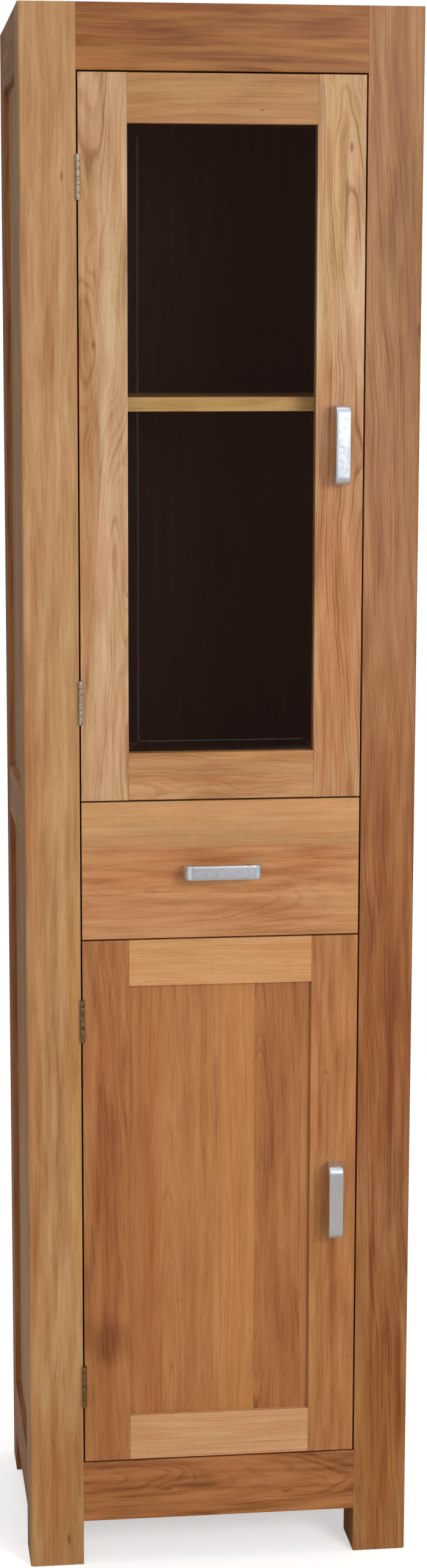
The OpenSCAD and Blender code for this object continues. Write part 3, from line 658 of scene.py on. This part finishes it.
def dress_carcass():
    """The boards that the front hides or that are seen from the sides, back and top."""
    dress_oak("left_top_rail", SIDE_ACROSS, Oak(RED, 20.0))
    dress_oak("left_mid_rail", SIDE_ACROSS, Oak(TAN, 21.0, pith_v=-50))
    dress_oak("left_bottom_rail", SIDE_ACROSS, Oak(BROWN, 22.0))
    dress_oak("right_top_rail", SIDE_ACROSS, Oak(TAN, 23.0, pith_v=40))
    dress_oak("right_mid_rail", SIDE_ACROSS, Oak(BROWN, 24.0))
    dress_oak("right_bottom_rail", SIDE_ACROSS, Oak(HONEY, 25.0, pith_v=-40))
    dress_oak("back_left_leg", UPRIGHT, Oak(BROWN, 26.0, slope_v=0.02))
    dress_oak("back_right_leg", UPRIGHT, Oak(HONEY, 27.0, slope_v=-0.02))
    dress_oak("back_top_rail", ACROSS, Oak(TAN, 28.0, wave=8.0))
    dress_oak("back_bottom_rail", ACROSS, Oak(TAN, 29.0, wave=8.0))
    dress_strips("left_upper_panel", SIDE_UPRIGHT, HONEY, 30.0, 3)
    dress_strips("left_lower_panel", SIDE_UPRIGHT, TAN, 31.0, 3)
    dress_strips("right_upper_panel", SIDE_UPRIGHT, TAN, 32.0, 3)
    dress_strips("right_lower_panel", SIDE_UPRIGHT, HONEY, 33.0, 3)
    dress_strips("top_panel", FLOOR, TAN, 34.0, 4)
    dress_strips("upper_floor", FLOOR, BROWN, 35.0, 4)
    dress_strips("drawer_divider", FLOOR, HONEY, 36.0, 4)
    dress_strips("bottom_panel", FLOOR, TAN, 37.0, 4)
    dress_strips("upper_shelf", FLOOR, SHELF, 38.0, 3, contrast=0.51)
    dress_strips("lower_shelf", FLOOR, SHELF, 39.0, 3, contrast=0.51)
    dress_oak("drawer_runners", DEEP, Oak(TAN, 40.0))
    dress_oak("glazing_beads", UPRIGHT, Oak(TAN, 41.0))
    dress_oak("drawer_left_side", SIDE_ACROSS, Oak(PALE, 42.0, wave=3.0))
    dress_oak("drawer_right_side", SIDE_ACROSS, Oak(PALE, 43.0, wave=3.0))
    dress_oak("drawer_back", ACROSS, Oak(PALE, 44.0, wave=3.0))
    dress_strips("drawer_bottom", FLOOR, PALE, 45.0, 2, ring=4.5)
    dress_back_panel()


# painted shade: the near-black tone, and its share, on the inner face of the back panel
INSIDE_SHADE = (24, 11, 7)
INSIDE_SHADE_SHARE = 0.97
# how far each side of the board's middle the painted shade fades out, in mm
INSIDE_SHADE_BLUR = 0.5


def dress_back_panel():
    """Oak outside, and painted nearly black on the face that shows through the glass: painted shade
    that stands in for the dark inside of the cupboard.
    """
    low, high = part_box("back_panel")
    looks, seams = strips(HONEY, 46.0, 3, slope_w=0.02, pith_w=28.0, ring=4.0)
    material = oak_material("oak_back_panel", low, high, UPRIGHT, looks, seams)
    g = Graph(material.node_tree)
    shader = material.node_tree.nodes["Principled BSDF"]
    oak_colour = shader.inputs["Base Color"].links[0].from_socket
    middle = (low.y + high.y) / 2
    blur = INSIDE_SHADE_BLUR * MM
    outside = g.ease(g.split(g.object_place())[1], middle - blur, middle + blur)
    # painted shade, nearly black, on the inner face only
    inside_shade = g.mix(INSIDE_SHADE_SHARE, oak_colour, tone(*INSIDE_SHADE))
    settle(shader, {"Specular IOR Level": 0.1, "Coat Weight": 0.0})
    g.feed(shader.inputs["Base Color"], g.mix(outside, inside_shade, oak_colour))
    dress("back_panel", material)


# ---------- Glass, metal and plastic ----------

GLASS_TINT = (0.90, 0.86, 0.82, 1.0)
GLASS_SHADE = (0.85, 0.82, 0.79, 1.0)


def clear_glass():
    """Clear glass with a faint warm tint. Lamps shine through it."""
    material, g, shader = new_material("clear_glass")
    settle(shader, {"Base Color": GLASS_TINT, "Roughness": 0.0, "IOR": 1.5})
    settle(shader, {"Transmission Weight": 1.0})
    rays = g.add("ShaderNodeLightPath").outputs
    lamplight = g.math("MAXIMUM", rays["Is Shadow Ray"], rays["Is Diffuse Ray"])
    let_through(material, g, shader, lamplight, GLASS_SHADE)
    return material


# lines and clouds to the metre along X, Y and Z
EVEN_GRIT = (400.0, 400.0, 400.0)
BRUSHED_UPRIGHT = (2500.0, 900.0, 60.0)
BRUSHED_ACROSS = (60.0, 900.0, 2500.0)
METAL_CLOUDS = 240.0
PLASTIC_GRAIN = 1500.0
PLASTIC_CLOUDS = 60.0

WORN_EDGE = (0.42, 0.68)
WORN_ROUGHNESS = 0.12
LINE_ROUGHNESS = 0.14
LINE_SHARE = 0.25
METAL_RELIEF = (0.15, 0.03)

CREAM = (226, 220, 204)
CREAM_CLOUD = (208, 199, 180)
PLASTIC_ROUGHNESS = 0.38
GRAIN_ROUGHNESS = 0.15
PLASTIC_RELIEF = (0.2, 0.05)


def metal(name, bright, dull, roughness, brushed=EVEN_GRIT, wear=0.5):
    """Metal whose colour and gloss vary in fine brushed lines and in soft worn areas. wear says
    how far the worn areas turn dull."""
    material, g, shader = new_material(name)
    place = g.object_place()
    lines = g.noise(g.vector("MULTIPLY", place, brushed), detail=2.0)
    cloud = g.noise(place, scale=METAL_CLOUDS, detail=3.0)
    worn = g.ease(cloud, *WORN_EDGE)
    share = g.math("MULTIPLY_ADD", worn, wear, g.scaled(lines, LINE_SHARE), clamp=True)
    g.feed(shader.inputs["Base Color"], g.mix(share, bright, dull))
    gloss = g.scaled(lines, LINE_ROUGHNESS, roughness - LINE_ROUGHNESS / 2)
    gloss = g.math("MULTIPLY_ADD", worn, WORN_ROUGHNESS, gloss)
    g.feed(shader.inputs["Roughness"], gloss)
    settle(shader, {"Metallic": 1.0})
    add_relief(g, shader, lines, *METAL_RELIEF)
    return material


def cream_plastic():
    """Moulded plastic with a fine grain and slight clouds."""
    material, g, shader = new_material("cream_plastic")
    place = g.object_place()
    grain = g.noise(place, scale=PLASTIC_GRAIN, detail=2.0)
    cloud = g.noise(place, scale=PLASTIC_CLOUDS, detail=2.0)
    colour = g.mix(g.scaled(cloud, 0.5), tone(*CREAM), tone(*CREAM_CLOUD))
    g.feed(shader.inputs["Base Color"], colour)
    g.feed(shader.inputs["Roughness"], g.scaled(grain, GRAIN_ROUGHNESS, PLASTIC_ROUGHNESS))
    add_relief(g, shader, grain, *PLASTIC_RELIEF)
    return material


# two heights in m that lie between the lower hinges and the upper ones
HINGES_PART = (0.8, 0.9)
# painted shade in the knuckle joints and gaps: how near in mm other faces count as a gap's, and
# how open a place has to be for no more painted shade
GAP_SHADE_REACH = 1.6
GAP_SHADE_EDGE = (0.62, 0.92)
GAP_SHADE_SHARE = 0.85
GAP_SHADE_TONE = (66, 50, 34)
LOWER_HINGE_TONE = (188, 172, 142)


def aged_nickel():
    """Nickel with painted shade between its knuckles and in other gaps, and darker and browner on
    the two lower hinges.
    """
    material = metal("aged_nickel", tone(208, 198, 176), tone(120, 104, 80), 0.42, wear=0.45)
    g = Graph(material.node_tree)
    socket = material.node_tree.nodes["Principled BSDF"].inputs["Base Color"]
    height = g.split(g.object_place())[2]
    # the two lower hinges are multiplied darker and browner
    lower_hinges = g.ease(height, *HINGES_PART, 1.0, 0.0)
    colour = g.mix(lower_hinges, socket.links[0].from_socket, tone(*LOWER_HINGE_TONE), "MULTIPLY")
    # painted shade: darker where nearby faces close in, found by ambient occlusion, as in the
    # knuckle joints
    hollow = g.add("ShaderNodeAmbientOcclusion")
    settle(hollow, {"Distance": GAP_SHADE_REACH * MM})
    gap_shade = g.ease(hollow.outputs["AO"], *GAP_SHADE_EDGE, GAP_SHADE_SHARE, 0.0)
    g.feed(socket, g.mix(gap_shade, colour, tone(*GAP_SHADE_TONE)))
    return material


NICKEL = aged_nickel()
STEEL = metal("zinc_steel", tone(188, 190, 192), tone(128, 126, 122), 0.30)


def dress_fittings():
    dress("glass_pane", clear_glass())
    dress("catch_bodies", cream_plastic())
    for name in ("hinge_frame_leaves", "hinge_pins", "hinge_frame_screws", "shelf_pins",
                 "upper_door_hinge_leaves", "upper_door_hinge_screws",
                 "lower_door_hinge_leaves", "lower_door_hinge_screws"):
        dress(name, NICKEL)
    for name in ("runner_screws", "upper_door_handle_screws", "lower_door_handle_screws",
                 "drawer_handle_screws", "upper_catch_strike", "lower_catch_strike"):
        dress(name, STEEL)


# ---------- Edges ----------

# widths of the rounded edges, in mm
CARCASS_EDGE = 0.35
DOOR_EDGE = 0.8
FITTING_EDGE = 0.25
KNUCKLE_EDGE = 0.6
GLASS_EDGE = 1.0

# how near corners are joined, in mm, and by how many degrees faces have to bend at an edge
WELD_REACH = 0.005
FLAT_ANGLE = 0.3
SHARP_ANGLE = 35
GLASS_ANGLE = 1.5


def add_rounding(piece, name, width, angle):
    """Rounds the edges that bend by more than angle. width is in mm."""
    bevel = piece.modifiers.new(name, "BEVEL")
    bevel.width = width * MM
    bevel.segments = 2
    bevel.limit_method = "ANGLE"
    bevel.angle_limit = math.radians(angle)


def soften(name, width, angle=SHARP_ANGLE):
    """Joins up the faces of a CAD piece and rounds its edges, with modifiers."""
    piece = nodes[name]
    weld = piece.modifiers.new("weld", "WELD")
    weld.merge_threshold = WELD_REACH * MM
    flat = piece.modifiers.new("flat", "DECIMATE")
    flat.decimate_type = "DISSOLVE"
    flat.angle_limit = math.radians(FLAT_ANGLE)
    add_rounding(piece, "bevel", width, angle)


def soften_edges():
    """Rounds the edges of the boards, fittings and glass. On the glass that includes the faint
    line where its flat meets its wide bevel."""
    for name in frame["record"]["behaviour"]["bodies"]["carcass"]:
        if name.endswith(("leg", "rail", "panel", "floor", "divider", "shelf", "runners")):
            soften(name, CARCASS_EDGE)
    for name in nodes:
        if "door" in name and name.endswith(("stile", "rail")) or name == "drawer_front":
            soften(name, DOOR_EDGE)
        elif name.startswith("drawer_") and name.endswith(("side", "back", "bottom")):
            soften(name, CARCASS_EDGE)
    for name in ("catch_bodies", "upper_catch_strike", "lower_catch_strike", "glazing_beads"):
        soften(name, FITTING_EDGE)
    for name in ("hinge_frame_leaves", "upper_door_hinge_leaves", "lower_door_hinge_leaves"):
        soften(name, KNUCKLE_EDGE)
    soften("glass_pane", GLASS_EDGE, GLASS_ANGLE)


# ---------- Handles ----------

# the bar's thickness, the feet's length, the bends' outer radius, and the chamfers, crown and
# rounded edges, in mm
BAR_T = 5.0
FOOT_L = 12.0
BEND_R = 9.0
CHAMFER = 0.3
CROWN = 0.12
HANDLE_EDGE = 0.15
# how wide the feet are at the door, as a share of the bar's width
FOOT_TAPER = 0.66
# into how many parts a bend and the face are cut, and from how many degrees an edge is sharp
BEND_STEPS = 14
FACE_STEPS = 6
CREASE_ANGLE = 30


def arc(centre, radius, start, end):
    """Points round a bend, from the start angle to the end angle in degrees."""
    points = []
    for step in range(BEND_STEPS + 1):
        angle = math.radians(start + (end - start) * step / BEND_STEPS)
        points.append((centre[0] + radius * math.cos(angle), centre[1] + radius * math.sin(angle)))
    return points


def bow_profile(length, out):
    """Outer and inner outline of a bow handle, as (along, outwards) in mm, foot to foot."""
    half = length / 2
    inner_r = BEND_R - BAR_T
    inner_half = half - FOOT_L
    inner_out = out - BAR_T
    outer = [(-half, 0.0)]
    outer += arc((BEND_R - half, out - BEND_R), BEND_R, 180, 90)
    outer += arc((half - BEND_R, out - BEND_R), BEND_R, 90, 0)
    outer.append((half, 0.0))
    inner = [(-inner_half, 0.0)]
    inner += arc((inner_r - inner_half, inner_out - inner_r), inner_r, 180, 90)
    inner += arc((inner_half - inner_r, inner_out - inner_r), inner_r, 90, 0)
    inner.append((inner_half, 0.0))
    return outer, inner


def bow_section(width):
    """The bar's section: a crowned face, chamfers and a flat back. Each point is a place across
    and a depth in mm, and says whether the depth counts from the inside."""
    half = width / 2
    flat = half - CHAMFER
    section = [(-half, CHAMFER, False)]
    for step in range(FACE_STEPS + 1):
        across = flat * (2 * step / FACE_STEPS - 1)
        section.append((across, CROWN * (across / flat) ** 2, False))
    section.append((half, CHAMFER, False))
    section += [(half, CHAMFER, True), (flat, 0.0, True)]
    section += [(-flat, 0.0, True), (-half, CHAMFER, True)]
    return section


def add_bow_handle(name, node, body, along_axis, material):
    """A bow handle in the place of a CAD one, standing out towards -Y. It is a row of sections
    that follows the bow from foot to foot, and its feet are narrower where they meet the door."""
    low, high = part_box(node)
    across_axis = 2 - along_axis
    size = [(high[i] - low[i]) / MM for i in range(3)]
    middle = (low + high) / 2
    outer, inner = bow_profile(size[along_axis], size[1])
    section = bow_section(size[across_axis])
    shape = bmesh.new()
    rings = []
    for far, near in zip(outer, inner):
        inward = (Vector(near) - Vector(far)).normalized()
        taper = FOOT_TAPER if far[1] == 0.0 else 1.0
        ring = []
        for across, depth, from_inside in section:
            point = Vector(near) - inward * depth if from_inside else Vector(far) + inward * depth
            place = middle.copy()
            place[along_axis] += point[0] * MM
            place[across_axis] += across * taper * MM
            place.y = high.y - point[1] * MM
            ring.append(shape.verts.new(place))
        rings.append(ring)
    for first, second in zip(rings, rings[1:]):
        for index in range(len(section)):
            follow = (index + 1) % len(section)
            shape.faces.new((first[index], first[follow], second[follow], second[index]))
    shape.faces.new(rings[0])
    shape.faces.new(reversed(rings[-1]))
    bmesh.ops.recalc_face_normals(shape, faces=shape.faces)
    mesh = bpy.data.meshes.new(name)
    shape.to_mesh(mesh)
    shape.free()
    mesh.shade_smooth()
    mesh.set_sharp_from_angle(angle=math.radians(CREASE_ANGLE))
    mesh.materials.append(material)
    handle = bpy.data.objects.new(name, mesh)
    scene.collection.objects.link(handle)
    add_rounding(handle, "edge", HANDLE_EDGE, CREASE_ANGLE)
    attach(handle, body)
    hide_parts(node)


def add_handles():
    """Satin aluminium, brushed along the bar."""
    bright, dull = tone(224, 236, 246), tone(202, 214, 225)
    upright = metal("aluminium_upright", bright, dull, 0.37, BRUSHED_UPRIGHT, wear=0.05)
    level = metal("aluminium_level", bright, dull, 0.37, BRUSHED_ACROSS, wear=0.05)
    add_bow_handle("upper_handle_bow", "upper_door_handle", "upper_door", 2, upright)
    add_bow_handle("lower_handle_bow", "lower_door_handle", "lower_door", 2, upright)
    add_bow_handle("drawer_handle_bow", "drawer_handle", "drawer", 0, level)


# ---------- Lights and floor ----------

# place and target in m, width and height in m, watts, and whether the surfaces mirror it
LIGHTS = {
    "key_light": ((1.5, -3.0, 1.8), (0, 0, 0.8), (0.8, 0.8), 32, False),
    "fill_light": ((-1.0, -3.2, 1.0), (0, 0, 0.7), (1.2, 1.6), 11, False),
    "top_light": ((0, 0.6, 4.0), (0, 0, 0.9), (2.5, 2.5), 36, True),
    "strip_light": ((0.92, -3.1, 1.75), (0.1, 0, 1.2), (0.62, 1.5), 16, True),
    "rim_light": ((-0.2, -3.1, 1.2), (0, 0, 1.3), (0.4, 1.8), 0.8, True),
    "low_light": ((0.45, -3.2, 0.22), (0, 0, 0.84), (0.7, 0.4), 0.75, True),
}


def add_area_light(name, place, target, size, watts, mirrored):
    """A soft box. One that is not mirrored lights the wood without veiling its colour."""
    data = bpy.data.lights.new(name, "AREA")
    data.shape = "RECTANGLE"
    data.size, data.size_y = size
    data.energy = watts
    light = bpy.data.objects.new(name, data)
    light.location = place
    aim = Vector(target) - Vector(place)
    light.rotation_euler = aim.to_track_quat("-Z", "Y").to_euler()
    light.visible_camera = False
    light.visible_glossy = mirrored
    light.visible_transmission = False
    scene.collection.objects.link(light)
    return light


def keep_off_glass(light):
    """Leaves the glass out of what a light reaches, so that it draws no glint along the bevel."""
    unlit = bpy.data.collections.new("unlit_by_" + light.name)
    unlit.objects.link(nodes["glass_pane"])
    unlit.collection_objects[0].light_linking.link_state = "EXCLUDE"
    light.light_linking.receiver_collection = unlit


def add_lights():
    lights = {name: add_area_light(name, *values) for name, values in LIGHTS.items()}
    keep_off_glass(lights["strip_light"])


# the way to the doorway in front, and how many degrees from it the doorway starts to fade and ends
DOORWAY_WAY = (0.17, -0.985, -0.03)
DOORWAY_FULL = 22
DOORWAY_END = 38
# how far back a way points, from -1 to 1, where the walls start to darken and where they are dark
WALLS_EDGE = (-0.45, 0.15)

ROOM = (0.40, 0.40, 0.40, 1.0)
FRONT = (0.88, 0.80, 0.68, 1.0)
DOORWAY = (0.16, 0.085, 0.07, 1.0)
BRIGHT_WALL = (0.85, 0.85, 0.87, 1.0)
DARK_WALL = (0.16, 0.15, 0.15, 1.0)


def add_world():
    """White for the camera. The wood is lit by a pale room, brightest in front, which reaches into
    the gaps. Glass mirrors a dark doorway in front of the cabinet, and metal the bright walls
    beside it. What lies behind the cabinet mirrors dimmer, which keeps the sides' sheen low."""
    world = bpy.data.worlds.new("studio")
    world.use_nodes = True
    scene.world = world
    g = Graph(world.node_tree)
    background = world.node_tree.nodes["Background"]
    way = g.add("ShaderNodeTexCoord").outputs["Generated"]
    facing = g.vector("DOT_PRODUCT", way, DOORWAY_WAY)
    full, end = (math.cos(math.radians(angle)) for angle in (DOORWAY_FULL, DOORWAY_END))
    walls = g.mix(g.ease(g.split(way)[1], *WALLS_EDGE), BRIGHT_WALL, DARK_WALL)
    rays = g.add("ShaderNodeLightPath").outputs
    ahead = g.ease(facing, end, full)
    lighting = g.mix(ahead, ROOM, FRONT)
    mirrored = g.mix(ahead, walls, DOORWAY)
    glossy = g.math("MAXIMUM", rays["Is Glossy Ray"], rays["Is Transmission Ray"])
    seen = g.mix(glossy, lighting, mirrored)
    g.feed(background.inputs["Color"], g.mix(rays["Is Camera Ray"], seen, WHITE))


# the floor's radius and those between which it fades, in m, and how far under the feet it is, in mm
FLOOR_R = 2.5
FLOOR_FADE = (1.5, 0.97 * FLOOR_R)
FLOOR_DROP = 0.5
FLOOR_LIGHT = (0.94, 0.94, 0.94, 1.0)
FLOOR_DARK = (0.90, 0.90, 0.90, 1.0)
FLOOR_BOUNCE = (0.62, 0.52, 0.43, 1.0)
FLOOR_GLOW = 0.5
FLOOR_SPECKLE = 0.3
SPECKLES = 40.0


def add_floor():
    """A pale round floor whose rim fades into the white of the studio. It looks white to the
    camera, and throws less light back at the cabinet than it shows."""
    mesh = bpy.data.meshes.new("floor")
    shape = bmesh.new()
    bmesh.ops.create_circle(shape, cap_ends=True, segments=96, radius=FLOOR_R)
    shape.to_mesh(mesh)
    shape.free()
    floor = bpy.data.objects.new("floor", mesh)
    floor.location.z = -FLOOR_DROP * MM
    scene.collection.objects.link(floor)
    material, g, shader = new_material("pale_floor")
    place = g.object_place()
    speckle = g.noise(place, scale=SPECKLES, detail=3.0)
    colour = g.mix(g.scaled(speckle, FLOOR_SPECKLE), FLOOR_LIGHT, FLOOR_DARK)
    seen = g.add("ShaderNodeLightPath").outputs["Is Camera Ray"]
    g.feed(shader.inputs["Base Color"], g.mix(seen, FLOOR_BOUNCE, colour))
    g.feed(shader.inputs["Emission Strength"], g.scaled(seen, FLOOR_GLOW))
    settle(shader, {"Roughness": 0.7, "Specular IOR Level": 0.1, "Emission Color": WHITE})
    rim = g.ease(g.vector("LENGTH", place), *FLOOR_FADE)
    let_through(material, g, shader, rim)
    mesh.materials.append(material)


scene.view_settings.view_transform = "Standard"
add_camera()
dress_front()
dress_carcass()
dress_fittings()
soften_edges()
add_handles()
add_lights()
add_world()
add_floor()
